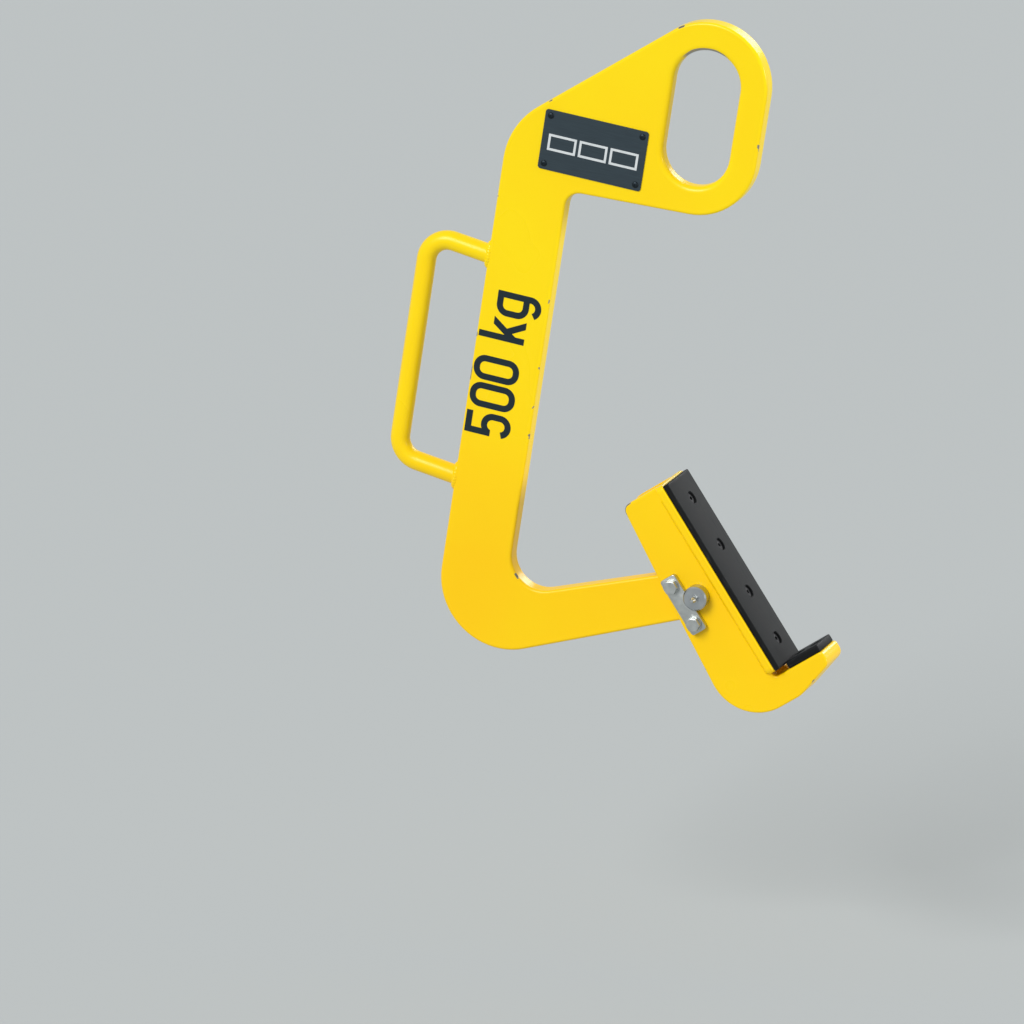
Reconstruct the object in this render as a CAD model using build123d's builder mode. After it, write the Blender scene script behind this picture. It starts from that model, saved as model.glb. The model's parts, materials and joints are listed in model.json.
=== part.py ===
"""Coil tilting hook: a plate hook with a pivoting claw, hanging loaded from its eye.

Frame: millimetres, +Z up along the load line, +X towards the claw, -Y towards the viewer.
The origin is the centre of the eye slot's upper arc, which the load line runs through.
"""
import os
from math import asin, atan2, cos, degrees, hypot, radians, sin, tan

from build123d import *

os.makedirs("parts", exist_ok=True)

# Hook plate, measured along and across the shank from the origin
PLATE_THICKNESS = 20
EDGE_ROUND = 3
EYE_SLOT_WIDTH = 70
EYE_SLOT_LENGTH = 140
EYE_RIM = 29
EYE_RIM_ROUND = 6
EYE_OFFSET = 162
SHANK_WIDTH = 72
SHOULDER_RADIUS = 79
SHOULDER_DROP = 121.5
ARMPIT_RADIUS = 16
ARMPIT_DROP = 139
THROAT_RADIUS = 33
THROAT_DROP = 525
HEEL_RADIUS = 71
HEEL_DEPTH = 72
PIVOT_OFFSET = 80
PIVOT_DROP = 517
NOSE_WALL = 8

# Handle
BAR_DIAMETER = 20
HANDLE_DROP = 225
HANDLE_SPAN = 237
HANDLE_STANDOFF = 67
HANDLE_BEND_RADIUS = 24
HANDLE_RAKE = 6
HANDLE_WELD = 6

# Rating plate
SIGN_WIDTH = 110
SIGN_HEIGHT = 62
SIGN_THICKNESS = 1
SIGN_CORNER = 3
SIGN_INSET = 6
SIGN_OFFSET = 105
SIGN_DROP = 91
RIVET_DIAMETER = 3.2
RIVET_HEAD = 6.4
RIVET_HEIGHT = 1.6
RIVET_CHAMFER = 1
RIVET_GRIP = 6

# Claw pivot
PIN_DIAMETER = 25
PIN_CHAMFER = 1.5
PIN_TAIL = 3
PIN_NOSE = 6
BUSH_WALL = 3.5
BUSH_FLANGE = 2
BUSH_FLANGE_RIM = 6
BUSH_SPLIT = 1
RUNNING_CLEARANCE = 0.05
FORK_CLEARANCE = 0.25
NOSE_CLEARANCE = 1

# Claw, measured from the pivot along and across its leg
CLAW_TILT = 33.5
CHEEK_THICKNESS = 12
CHEEK_ROUND = 2
LEG_TOP = 116
LEG_WIDTH = 46
LEG_CORNER = 8
LOBE_WALL = 18
SEAT_DROP = 102
TOE_REACH = 43
TOE_DEPTH = 29
TOE_TIP_DEPTH = 17
TOE_TIP_ROUND = 4
TOE_CORNER = 5
TOE_CHIN_REACH = 10
TOE_CHIN_RADIUS = 24
CLAW_HEEL_RADIUS = 50
CLAW_HEEL_BULGE = 16
TOE_BLOCK_LENGTH = 100
CARRIER_THICKNESS = 8
CARRIER_OVERHANG = 11
CARRIER_CORNER = 6
CARRIER_ROUND = 1.5
CARRIER_FOOT_GAP = 6
CLAW_WELD = 7
CLAW_WELD_INSET = 10

# Pads and their countersunk screws
PAD_THICKNESS = 8
PAD_INSET = 2
PAD_CROWN_RADIUS = 260
PAD_GAP = 2
SCREW_DIAMETER = 6
SCREW_HEAD = 12
SCREW_SOCKET = 4
SCREW_SOCKET_DEPTH = 2
SCREW_SUNK = 2
SCREW_RECESS_CLEARANCE = 0.4
LEG_SCREW_COUNT = 4
LEG_SCREW_END = 26
TOE_SCREW_DEPTH = 12

# Pin keeper, bolts and grease nipple
KEEPER_THICKNESS = 6
KEEPER_WIDTH = 18
KEEPER_LENGTH = 64
KEEPER_CORNER = 3
KEEPER_BITE = 5
KEEPER_CLEARANCE = 0.1
KEEPER_BOLT_PITCH = 44
BOLT_DIAMETER = 8
BOLT_HEAD_FLATS = 13
BOLT_HEAD_HEIGHT = 5.3
BOLT_GRIP = 10
BOLT_HOLE_CLEARANCE = 0.5
WASHER_DIAMETER = 16
WASHER_THICKNESS = 1.6
WASHER_CLEARANCE = 0.2
NIPPLE_DIAMETER = 6
NIPPLE_FLATS = 7
NIPPLE_COLLAR = 2.5
NIPPLE_NECK = 4
NIPPLE_HEIGHT = 8
NIPPLE_HEAD = 3.5
NIPPLE_BULB = 6
NIPPLE_TIP = 3
NIPPLE_DEPTH = 6

# Levels and radii that follow from the sizes above
half_plate = PLATE_THICKNESS / 2
slot_radius = EYE_SLOT_WIDTH / 2
slot_travel = EYE_SLOT_LENGTH - EYE_SLOT_WIDTH
rim_radius = slot_radius + EYE_RIM
shank_left = -EYE_OFFSET - SHANK_WIDTH / 2
shank_right = -EYE_OFFSET + SHANK_WIDTH / 2
heel_level = -THROAT_DROP - THROAT_RADIUS - HEEL_DEPTH
bar_radius = BAR_DIAMETER / 2
pin_radius = PIN_DIAMETER / 2
bore_radius = pin_radius + RUNNING_CLEARANCE
bush_radius = bore_radius + BUSH_WALL
nose_radius = bush_radius + NOSE_WALL

fork_inside = half_plate + BUSH_FLANGE + FORK_CLEARANCE
fork_outside = fork_inside + CHEEK_THICKNESS
leg_front = nose_radius + NOSE_CLEARANCE
leg_back = leg_front - LEG_WIDTH
heel_back = leg_back - CLAW_HEEL_BULGE
lobe_radius = pin_radius + LOBE_WALL
carrier_face = leg_front + CARRIER_THICKNESS
pad_face = carrier_face + PAD_THICKNESS
toe_top = -SEAT_DROP - PAD_THICKNESS
toe_bottom = toe_top - TOE_DEPTH
toe_tip = pad_face + TOE_REACH
carrier_foot = toe_top + CARRIER_FOOT_GAP
carrier_half = fork_outside + CARRIER_OVERHANG
pad_half = carrier_half - PAD_INSET
pad_foot = carrier_foot
pad_top = LEG_TOP - PAD_INSET
keeper_edge = -pin_radius + KEEPER_BITE - KEEPER_CLEARANCE
keeper_middle = keeper_edge - KEEPER_WIDTH / 2
keeper_face = fork_outside + KEEPER_THICKNESS
screw_radius = SCREW_DIAMETER / 2
screw_head_radius = SCREW_HEAD / 2
screw_recess_radius = screw_head_radius + SCREW_RECESS_CLEARANCE
bolt_radius = BOLT_DIAMETER / 2
rivet_radius = RIVET_DIAMETER / 2
nipple_radius = NIPPLE_DIAMETER / 2

# The shank leans so that the pivot hangs plumb below the origin
shank_lean = atan2(PIVOT_OFFSET, PIVOT_DROP)
plate_plane = Plane(origin=(0, 0, 0), x_dir=(cos(shank_lean), 0, -sin(shank_lean)), z_dir=(0, -1, 0))
pivot = plate_plane.from_local_coords(Vector(PIVOT_OFFSET, -PIVOT_DROP))

# The claw leans as under load: its x axis points out of the leg's pad, its y axis up the leg
tilt = radians(CLAW_TILT)
outward = Vector(cos(tilt), 0, sin(tilt))
upward = Vector(-sin(tilt), 0, cos(tilt))
claw_plane = Plane(origin=pivot, x_dir=outward, z_dir=(0, -1, 0))
leg_plane = Plane(origin=pivot + outward * carrier_face, x_dir=(0, 1, 0), z_dir=outward)
toe_plane = Plane(origin=pivot + upward * toe_top, x_dir=outward, z_dir=upward)


def belt_outline(discs):
    """Draw a closed anticlockwise outline round discs, joined by their common tangents.

    Each disc is (x, y, radius). A negative radius is a hollow in the outline.
    """
    headings = []
    for (x0, y0, r0), (x1, y1, r1) in zip(discs, discs[1:] + discs[:1]):
        run, rise = x1 - x0, y1 - y0
        headings.append(atan2(rise, run) + asin((r0 - r1) / hypot(run, rise)))
    last = discs[-1]
    for i, (x, y, r) in enumerate(discs):
        arrive, leave = headings[i - 1], headings[i]
        Line(
            (last[0] + last[2] * sin(arrive), last[1] - last[2] * cos(arrive)),
            (x + r * sin(arrive), y - r * cos(arrive)),
        )
        if r > 0:
            CenterArc((x, y), r, degrees(arrive) - 90, degrees(leave - arrive) % 360)
        else:
            CenterArc((x, y), -r, degrees(arrive) + 90, -(degrees(arrive - leave) % 360))
        last = (x, y, r)


def cheek_outline():
    """Draw the L-shaped side of the claw in claw_plane."""
    tip_round = TOE_TIP_DEPTH / 2
    belt_outline([
        (heel_back + CLAW_HEEL_RADIUS, toe_bottom + CLAW_HEEL_RADIUS, CLAW_HEEL_RADIUS),
        (leg_front + TOE_CHIN_REACH, toe_bottom + TOE_CHIN_RADIUS, TOE_CHIN_RADIUS),
        (toe_tip - tip_round, toe_top - TOE_TIP_DEPTH + tip_round, tip_round),
        (toe_tip - TOE_TIP_ROUND, toe_top - TOE_TIP_ROUND, TOE_TIP_ROUND),
        (leg_front + TOE_CORNER, toe_top + TOE_CORNER, -TOE_CORNER),
        (leg_front - TOE_TIP_ROUND, LEG_TOP - TOE_TIP_ROUND, TOE_TIP_ROUND),
        (leg_back + LEG_CORNER, LEG_TOP - LEG_CORNER, LEG_CORNER),
        (0, 0, lobe_radius),
    ])


stand = (Align.CENTER, Align.CENTER, Align.MIN)
hang = (Align.CENTER, Align.CENTER, Align.MAX)

sign_centre = (-SIGN_OFFSET, -SIGN_DROP)
rivet_pitch = (SIGN_WIDTH - 2 * SIGN_INSET, SIGN_HEIGHT - 2 * SIGN_INSET)
bolt_places = [(keeper_middle, KEEPER_BOLT_PITCH / 2), (keeper_middle, -KEEPER_BOLT_PITCH / 2)]
leg_screw_first = pad_foot + LEG_SCREW_END
leg_screw_pitch = (pad_top - pad_foot - 2 * LEG_SCREW_END) / (LEG_SCREW_COUNT - 1)
leg_screw_places = [(0, leg_screw_first + i * leg_screw_pitch) for i in range(LEG_SCREW_COUNT)]
toe_pad_start = pad_face + PAD_GAP
toe_pad_end = toe_tip - PAD_INSET
toe_pad_middle = (toe_pad_start + toe_pad_end) / 2
toe_screw_step = (toe_pad_end - toe_pad_start) / 4
toe_screw_places = [(toe_pad_middle + side * toe_screw_step, 0) for side in (-1, 1)]
screw_seat = PAD_THICKNESS - SCREW_SUNK
screw_cone = (screw_radius, screw_head_radius, screw_head_radius - screw_radius)

# Hook plate: one profile-cut plate with its eye, its nose bore and the rivet holes
with BuildPart() as hook_plate:
    with BuildSketch(plate_plane):
        with BuildLine():
            belt_outline([
                (shank_left + HEEL_RADIUS, heel_level + HEEL_RADIUS, HEEL_RADIUS),
                (PIVOT_OFFSET, -PIVOT_DROP, nose_radius),
                (shank_right + THROAT_RADIUS, -THROAT_DROP, -THROAT_RADIUS),
                (shank_right + ARMPIT_RADIUS, -ARMPIT_DROP - ARMPIT_RADIUS, -ARMPIT_RADIUS),
                (0, -slot_travel, rim_radius),
                (0, 0, rim_radius),
                (shank_left + SHOULDER_RADIUS, -SHOULDER_DROP, SHOULDER_RADIUS),
            ])
        make_face()
    extrude(amount=half_plate, both=True)
    fillet(hook_plate.faces().filter_by(Axis.Y).edges(), EDGE_ROUND)
    with BuildSketch(plate_plane):
        with Locations((0, -slot_travel / 2)):
            SlotOverall(EYE_SLOT_LENGTH, EYE_SLOT_WIDTH, rotation=90)
    extrude(amount=half_plate, both=True, mode=Mode.SUBTRACT)
    slot_rims = [face.inner_wires() for face in hook_plate.faces().filter_by(Axis.Y)]
    fillet([edge for wires in slot_rims for edge in wires.edges()], EYE_RIM_ROUND)
    with BuildSketch(plate_plane):
        with Locations((PIVOT_OFFSET, -PIVOT_DROP)):
            Circle(bush_radius)
    extrude(amount=half_plate, both=True, mode=Mode.SUBTRACT)
    with BuildSketch(plate_plane.offset(half_plate)):
        with Locations(sign_centre):
            with GridLocations(*rivet_pitch, 2, 2):
                Circle(rivet_radius)
    extrude(amount=-RIVET_GRIP, mode=Mode.SUBTRACT)
hook_plate.part.label = "hook_plate"
export_step(hook_plate.part, "parts/hook_plate.step")

# Handle: a round bar bent twice, its ends cut flush with the shank's edge
leg_rise = HANDLE_STANDOFF * tan(radians(HANDLE_RAKE))
sunk_rise = bar_radius * tan(radians(HANDLE_RAKE))
upper_end = -HANDLE_DROP
lower_end = -HANDLE_DROP - HANDLE_SPAN
with BuildPart() as handle_bar:
    with BuildLine(plate_plane) as handle_path:
        FilletPolyline(
            (shank_left + bar_radius, upper_end - sunk_rise),
            (shank_left - HANDLE_STANDOFF, upper_end + leg_rise),
            (shank_left - HANDLE_STANDOFF, lower_end + leg_rise),
            (shank_left + bar_radius, lower_end - sunk_rise),
            radius=HANDLE_BEND_RADIUS,
        )
    with BuildSketch(Plane(origin=handle_path.line @ 0, z_dir=handle_path.line % 0)):
        Circle(bar_radius)
    sweep()
    shank_edge = Plane(
        origin=plate_plane.from_local_coords(Vector(shank_left, 0)), z_dir=-plate_plane.x_dir
    )
    split(bisect_by=shank_edge, keep=Keep.TOP)
handle_bar.part.label = "handle_bar"
export_step(handle_bar.part, "parts/handle_bar.step")

# Handle welds: beads round both bar ends, kept within the plate's thickness
handle_axis = plate_plane.x_dir * -cos(radians(HANDLE_RAKE)) + plate_plane.y_dir * sin(radians(HANDLE_RAKE))
with BuildPart() as handle_welds:
    for end in (upper_end, lower_end):
        root = plate_plane.from_local_coords(Vector(shank_left, end)) - handle_axis * HANDLE_WELD
        with Locations(Plane(origin=root, z_dir=handle_axis)):
            Cone(bar_radius + 2 * HANDLE_WELD, bar_radius, 2 * HANDLE_WELD, align=stand)
    with BuildSketch(plate_plane):
        with Locations((shank_left, (upper_end + lower_end) / 2)):
            Rectangle(2 * HANDLE_STANDOFF, 2 * HANDLE_SPAN)
    extrude(amount=half_plate - EDGE_ROUND / 2, both=True, mode=Mode.INTERSECT)
    add(hook_plate.part, mode=Mode.SUBTRACT)
    add(handle_bar.part, mode=Mode.SUBTRACT)
handle_welds.part.label = "handle_welds"
export_step(handle_welds.part, "parts/handle_welds.step")

# Rating plate and its rivets
with BuildPart() as rating_plate:
    with BuildSketch(plate_plane.offset(half_plate)):
        with Locations(sign_centre):
            RectangleRounded(SIGN_WIDTH, SIGN_HEIGHT, SIGN_CORNER)
            with GridLocations(*rivet_pitch, 2, 2):
                Circle(rivet_radius, mode=Mode.SUBTRACT)
    extrude(amount=SIGN_THICKNESS)
rating_plate.part.label = "rating_plate"
export_step(rating_plate.part, "parts/rating_plate.step")

with BuildPart() as rating_plate_rivets:
    with BuildSketch(plate_plane.offset(half_plate + SIGN_THICKNESS)):
        with Locations(sign_centre):
            with GridLocations(*rivet_pitch, 2, 2):
                Circle(RIVET_HEAD / 2)
    extrude(amount=RIVET_HEIGHT)
    chamfer(rating_plate_rivets.faces().sort_by(Axis.Y)[:4].edges(), RIVET_CHAMFER)
    with BuildSketch(plate_plane.offset(half_plate - RIVET_GRIP)):
        with Locations(sign_centre):
            with GridLocations(*rivet_pitch, 2, 2):
                Circle(rivet_radius)
    extrude(amount=RIVET_GRIP + SIGN_THICKNESS)
rating_plate_rivets.part.label = "rating_plate_rivets"
export_step(rating_plate_rivets.part, "parts/rating_plate_rivets.step")

# Flanged bushes, pressed into the nose from both faces
with BuildPart() as front_bush:
    with BuildSketch(claw_plane.offset(half_plate)):
        Circle(bush_radius + BUSH_FLANGE_RIM)
    extrude(amount=BUSH_FLANGE)
    with BuildSketch(claw_plane.offset(BUSH_SPLIT / 2)):
        Circle(bush_radius)
    extrude(amount=half_plate - BUSH_SPLIT / 2)
    with BuildSketch(claw_plane):
        Circle(bore_radius)
    extrude(amount=fork_inside, mode=Mode.SUBTRACT)
front_bush.part.label = "front_bush"
export_step(front_bush.part, "parts/front_bush.step")

with BuildPart() as rear_bush:
    mirror(front_bush.part, about=Plane.XZ)
rear_bush.part.label = "rear_bush"
export_step(rear_bush.part, "parts/rear_bush.step")

# Claw cheeks, one on each side of the hook plate
with BuildPart() as rear_cheek:
    with BuildSketch(claw_plane.offset(-fork_outside)):
        with BuildLine():
            cheek_outline()
        make_face()
    extrude(amount=CHEEK_THICKNESS)
    fillet(rear_cheek.faces().sort_by(Axis.Y)[-1].edges(), CHEEK_ROUND)
    with BuildSketch(claw_plane):
        Circle(bore_radius)
    extrude(amount=-fork_outside, mode=Mode.SUBTRACT)
rear_cheek.part.label = "rear_cheek"
export_step(rear_cheek.part, "parts/rear_cheek.step")

with BuildPart() as front_cheek:
    mirror(rear_cheek.part, about=Plane.XZ)
    with BuildSketch(claw_plane):
        with Locations(*bolt_places):
            Circle(bolt_radius)
    extrude(amount=fork_outside, mode=Mode.SUBTRACT)
front_cheek.part.label = "front_cheek"
export_step(front_cheek.part, "parts/front_cheek.step")

# Toe pad screws, then the toe block that fills the fork and takes them
with BuildPart() as toe_pad_screws:
    with Locations(toe_plane.offset(screw_seat)):
        with Locations(*toe_screw_places):
            Cone(*screw_cone, align=hang)
            Cylinder(screw_radius, screw_seat + TOE_SCREW_DEPTH, align=hang)
    with BuildSketch(toe_plane.offset(screw_seat)):
        with Locations(*toe_screw_places):
            RegularPolygon(SCREW_SOCKET / 2, 6, major_radius=False)
    extrude(amount=-SCREW_SOCKET_DEPTH, mode=Mode.SUBTRACT)
toe_pad_screws.part.label = "toe_pad_screws"
export_step(toe_pad_screws.part, "parts/toe_pad_screws.step")

with BuildPart() as toe_block:
    with BuildSketch(claw_plane):
        with BuildLine():
            cheek_outline()
        make_face()
        with Locations((toe_tip, toe_top)):
            Rectangle(TOE_BLOCK_LENGTH, TOE_DEPTH, align=(Align.MAX, Align.MAX), mode=Mode.INTERSECT)
    extrude(amount=fork_inside, both=True)
    add(toe_pad_screws.part, mode=Mode.SUBTRACT)
toe_block.part.label = "toe_block"
export_step(toe_block.part, "parts/toe_block.step")

with BuildPart() as toe_pad:
    with BuildSketch(toe_plane):
        with Locations((toe_pad_middle, 0)):
            Rectangle(toe_pad_end - toe_pad_start, 2 * (fork_outside - PAD_INSET))
    extrude(amount=PAD_THICKNESS)
    with BuildSketch(toe_plane.offset(screw_seat)):
        with Locations(*toe_screw_places):
            Circle(screw_recess_radius)
    extrude(amount=SCREW_SUNK, mode=Mode.SUBTRACT)
    with Locations(toe_plane.offset(screw_seat)):
        with Locations(*toe_screw_places):
            Cone(*screw_cone, align=hang, mode=Mode.SUBTRACT)
            Cylinder(screw_radius, PAD_THICKNESS, align=hang, mode=Mode.SUBTRACT)
toe_pad.part.label = "toe_pad"
export_step(toe_pad.part, "parts/toe_pad.step")

# Leg pad screws, then the carrier plate and the crowned pad that they hold
with BuildPart() as leg_pad_screws:
    with Locations(leg_plane.offset(screw_seat)):
        with Locations(*leg_screw_places):
            Cone(*screw_cone, align=hang)
            Cylinder(screw_radius, screw_seat + CARRIER_THICKNESS, align=hang)
    with BuildSketch(leg_plane.offset(screw_seat)):
        with Locations(*leg_screw_places):
            RegularPolygon(SCREW_SOCKET / 2, 6, major_radius=False)
    extrude(amount=-SCREW_SOCKET_DEPTH, mode=Mode.SUBTRACT)
leg_pad_screws.part.label = "leg_pad_screws"
export_step(leg_pad_screws.part, "parts/leg_pad_screws.step")

with BuildPart() as pad_carrier:
    with BuildSketch(leg_plane):
        with Locations((0, (LEG_TOP + carrier_foot) / 2)):
            RectangleRounded(2 * carrier_half, LEG_TOP - carrier_foot, CARRIER_CORNER)
    extrude(amount=-CARRIER_THICKNESS)
    fillet(pad_carrier.faces().sort_by(SortBy.AREA)[-2:].edges(), CARRIER_ROUND)
    add(leg_pad_screws.part, mode=Mode.SUBTRACT)
pad_carrier.part.label = "pad_carrier"
export_step(pad_carrier.part, "parts/pad_carrier.step")

crown_drop = PAD_CROWN_RADIUS - (PAD_CROWN_RADIUS**2 - pad_half**2) ** 0.5
with BuildPart() as leg_pad:
    with BuildSketch(Plane(origin=leg_plane.origin + upward * pad_foot, x_dir=(0, 1, 0), z_dir=-upward)):
        with BuildLine():
            Polyline(
                (-pad_half, PAD_THICKNESS - crown_drop), (-pad_half, 0),
                (pad_half, 0), (pad_half, PAD_THICKNESS - crown_drop),
            )
            ThreePointArc(
                (pad_half, PAD_THICKNESS - crown_drop), (0, PAD_THICKNESS),
                (-pad_half, PAD_THICKNESS - crown_drop),
            )
        make_face()
    extrude(amount=-(pad_top - pad_foot))
    with BuildSketch(leg_plane.offset(screw_seat)):
        with Locations(*leg_screw_places):
            Circle(screw_recess_radius)
    extrude(amount=SCREW_SUNK, mode=Mode.SUBTRACT)
    with Locations(leg_plane.offset(screw_seat)):
        with Locations(*leg_screw_places):
            Cone(*screw_cone, align=hang, mode=Mode.SUBTRACT)
            Cylinder(screw_radius, PAD_THICKNESS, align=hang, mode=Mode.SUBTRACT)
leg_pad.part.label = "leg_pad"
export_step(leg_pad.part, "parts/leg_pad.step")

# Weld beads along the outside corners between cheeks and carrier
with BuildPart() as claw_welds:
    with BuildSketch(Plane(origin=pivot + upward * carrier_foot, x_dir=outward, z_dir=upward)):
        for side in (-1, 1):
            with BuildLine():
                Polyline(
                    (leg_front - CLAW_WELD, side * fork_outside),
                    (leg_front, side * (fork_outside + CLAW_WELD)),
                    (leg_front, side * (fork_outside - CHEEK_ROUND)),
                    (leg_front - CHEEK_ROUND, side * (fork_outside - CHEEK_ROUND)),
                    close=True,
                )
            make_face()
    extrude(amount=LEG_TOP - carrier_foot - CLAW_WELD_INSET)
    add(front_cheek.part, mode=Mode.SUBTRACT)
    add(rear_cheek.part, mode=Mode.SUBTRACT)
claw_welds.part.label = "claw_welds"
export_step(claw_welds.part, "parts/claw_welds.step")

# Pivot pin: runs in the bushes, slotted at its front end for the keeper
pin_front = keeper_face + PIN_NOSE
with BuildPart() as pivot_pin:
    with BuildSketch(claw_plane.offset(-fork_outside - PIN_TAIL)):
        Circle(pin_radius)
    extrude(amount=fork_outside + PIN_TAIL + pin_front)
    chamfer(pivot_pin.edges().filter_by(GeomType.CIRCLE), PIN_CHAMFER)
    with BuildSketch(claw_plane.offset(fork_outside)):
        with Locations((-pin_radius + KEEPER_BITE, 0)):
            Rectangle(PIN_DIAMETER, PIN_DIAMETER, align=(Align.MAX, Align.CENTER))
    extrude(amount=KEEPER_THICKNESS + KEEPER_CLEARANCE, mode=Mode.SUBTRACT)
    with BuildSketch(claw_plane.offset(pin_front)):
        Circle(nipple_radius)
    extrude(amount=-NIPPLE_DEPTH, mode=Mode.SUBTRACT)
pivot_pin.part.label = "pivot_pin"
export_step(pivot_pin.part, "parts/pivot_pin.step")

with BuildPart() as grease_nipple:
    with Locations(claw_plane.offset(pin_front)):
        Cylinder(nipple_radius, NIPPLE_DEPTH, align=hang)
        Cylinder(NIPPLE_NECK / 2, NIPPLE_HEIGHT - NIPPLE_HEAD, align=stand)
    with Locations(claw_plane.offset(pin_front + NIPPLE_HEIGHT - NIPPLE_HEAD)):
        Cone(NIPPLE_BULB / 2, NIPPLE_TIP / 2, NIPPLE_HEAD, align=stand)
    with BuildSketch(claw_plane.offset(pin_front)):
        RegularPolygon(NIPPLE_FLATS / 2, 6, major_radius=False)
    extrude(amount=NIPPLE_COLLAR)
grease_nipple.part.label = "grease_nipple"
export_step(grease_nipple.part, "parts/grease_nipple.step")

# Keeper plate in the pin's slot, with its bolts and washers
with BuildPart() as pin_keeper:
    with BuildSketch(claw_plane.offset(fork_outside)):
        with Locations((keeper_middle, 0)):
            RectangleRounded(KEEPER_WIDTH, KEEPER_LENGTH, KEEPER_CORNER)
        with Locations(*bolt_places):
            Circle(bolt_radius + BOLT_HOLE_CLEARANCE, mode=Mode.SUBTRACT)
    extrude(amount=KEEPER_THICKNESS)
pin_keeper.part.label = "pin_keeper"
export_step(pin_keeper.part, "parts/pin_keeper.step")

with BuildPart() as keeper_washers:
    with BuildSketch(claw_plane.offset(keeper_face)):
        with Locations(*bolt_places):
            Circle(WASHER_DIAMETER / 2)
            Circle(bolt_radius + WASHER_CLEARANCE, mode=Mode.SUBTRACT)
    extrude(amount=WASHER_THICKNESS)
keeper_washers.part.label = "keeper_washers"
export_step(keeper_washers.part, "parts/keeper_washers.step")

with BuildPart() as keeper_bolts:
    with BuildSketch(claw_plane.offset(keeper_face + WASHER_THICKNESS)):
        with Locations(*bolt_places):
            RegularPolygon(BOLT_HEAD_FLATS / 2, 6, major_radius=False)
    extrude(amount=BOLT_HEAD_HEIGHT)
    with BuildSketch(claw_plane.offset(fork_outside - BOLT_GRIP)):
        with Locations(*bolt_places):
            Circle(bolt_radius)
    extrude(amount=BOLT_GRIP + KEEPER_THICKNESS + WASHER_THICKNESS)
keeper_bolts.part.label = "keeper_bolts"
export_step(keeper_bolts.part, "parts/keeper_bolts.step")
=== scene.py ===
# %% [markdown]
# # A coil tilting hook
# This lesson dresses a lifting hook that was modelled in CAD. The hook is one thick plate with a
# slotted eye, a bent bar for a handle, and a claw that pivots on its lower arm. The CAD nodes give
# every size, so Blender adds the finishes and the small forms that a drawing leaves out. Lengths
# are metres here, and the axes are the CAD's own: X to the claw, Y to the rear and Z up.

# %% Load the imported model
import json
import math

import bpy
from mathutils import Matrix, Vector


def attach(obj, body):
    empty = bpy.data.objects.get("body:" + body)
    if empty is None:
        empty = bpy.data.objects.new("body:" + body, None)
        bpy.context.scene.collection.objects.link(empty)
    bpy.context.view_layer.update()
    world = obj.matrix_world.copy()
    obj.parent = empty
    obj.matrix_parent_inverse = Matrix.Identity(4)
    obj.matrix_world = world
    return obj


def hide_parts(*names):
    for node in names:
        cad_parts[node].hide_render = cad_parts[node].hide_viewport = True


MM = 0.001

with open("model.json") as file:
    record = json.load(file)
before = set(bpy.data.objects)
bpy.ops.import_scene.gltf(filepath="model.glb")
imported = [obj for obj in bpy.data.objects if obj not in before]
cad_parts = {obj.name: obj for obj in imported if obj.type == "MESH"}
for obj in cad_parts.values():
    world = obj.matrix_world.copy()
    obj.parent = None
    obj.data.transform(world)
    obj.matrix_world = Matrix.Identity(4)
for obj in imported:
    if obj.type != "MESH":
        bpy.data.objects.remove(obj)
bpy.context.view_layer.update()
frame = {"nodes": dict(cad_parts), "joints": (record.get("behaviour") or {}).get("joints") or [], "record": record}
nodes = frame["nodes"]

# %% [markdown]
# ## Camera
# The photograph looks at the plate's front from the right and a little above, with hardly any
# perspective, so a long lens stands far away. The lens could be tried by eye. Here it follows from
# the width that the picture shows at the aim point, so the distance can change without the scale.

# %% Camera at the photograph's angle
CAMERA_AZIMUTH = math.radians(19.44)
CAMERA_ELEVATION = math.radians(15.09)
CAMERA_DISTANCE = 8.0
PICTURE_WIDTH = 1.0432
SENSOR_WIDTH = 36.0
AIM = Vector((-0.2076, 0.0, -0.4599))

to_camera = Vector((
    math.sin(CAMERA_AZIMUTH) * math.cos(CAMERA_ELEVATION),
    -math.cos(CAMERA_AZIMUTH) * math.cos(CAMERA_ELEVATION),
    math.sin(CAMERA_ELEVATION),
))
bpy.ops.object.camera_add(
    location=AIM + to_camera * CAMERA_DISTANCE,
    rotation=(math.pi / 2 - CAMERA_ELEVATION, 0.0, CAMERA_AZIMUTH),
)
camera = bpy.context.object
camera.data.sensor_width = SENSOR_WIDTH
camera.data.lens = SENSOR_WIDTH * CAMERA_DISTANCE / PICTURE_WIDTH
bpy.context.scene.camera = camera
print("lens:", round(camera.data.lens, 1), "mm")

# %% [markdown]
# ## Colour and node helpers
# Paint and metal colours are written as sRGB hex values, as a paint card gives them, and one
# function turns them into the linear values that Blender works with. A second function adds a
# shader node with its settings and whatever feeds its sockets. A third starts a material.

# %% Colour and node helpers
def linear(hex_colour):
    """Turn an sRGB hex colour into linear RGBA."""
    parts = [int(hex_colour[i:i + 2], 16) / 255 for i in (1, 3, 5)]
    return [c / 12.92 if c <= 0.04045 else ((c + 0.055) / 1.055) ** 2.4 for c in parts] + [1.0]


def add_node(tree, kind, inputs=None, **settings):
    """Add one node, apply its settings, and set or link its input sockets."""
    node = tree.nodes.new(kind)
    for name, value in settings.items():
        setattr(node, name, value)
    for socket, value in (inputs or {}).items():
        if isinstance(value, bpy.types.NodeSocket):
            tree.links.new(value, node.inputs[socket])
        else:
            node.inputs[socket].default_value = value
    return node


def start_material(name, roughness, metallic=0.0):
    """Make a material and return it with its node tree and its Principled shader."""
    material = bpy.data.materials.new(name)
    material.use_nodes = True
    shader = material.node_tree.nodes["Principled BSDF"]
    shader.inputs["Roughness"].default_value = roughness
    shader.inputs["Metallic"].default_value = metallic
    return material, material.node_tree, shader


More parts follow.
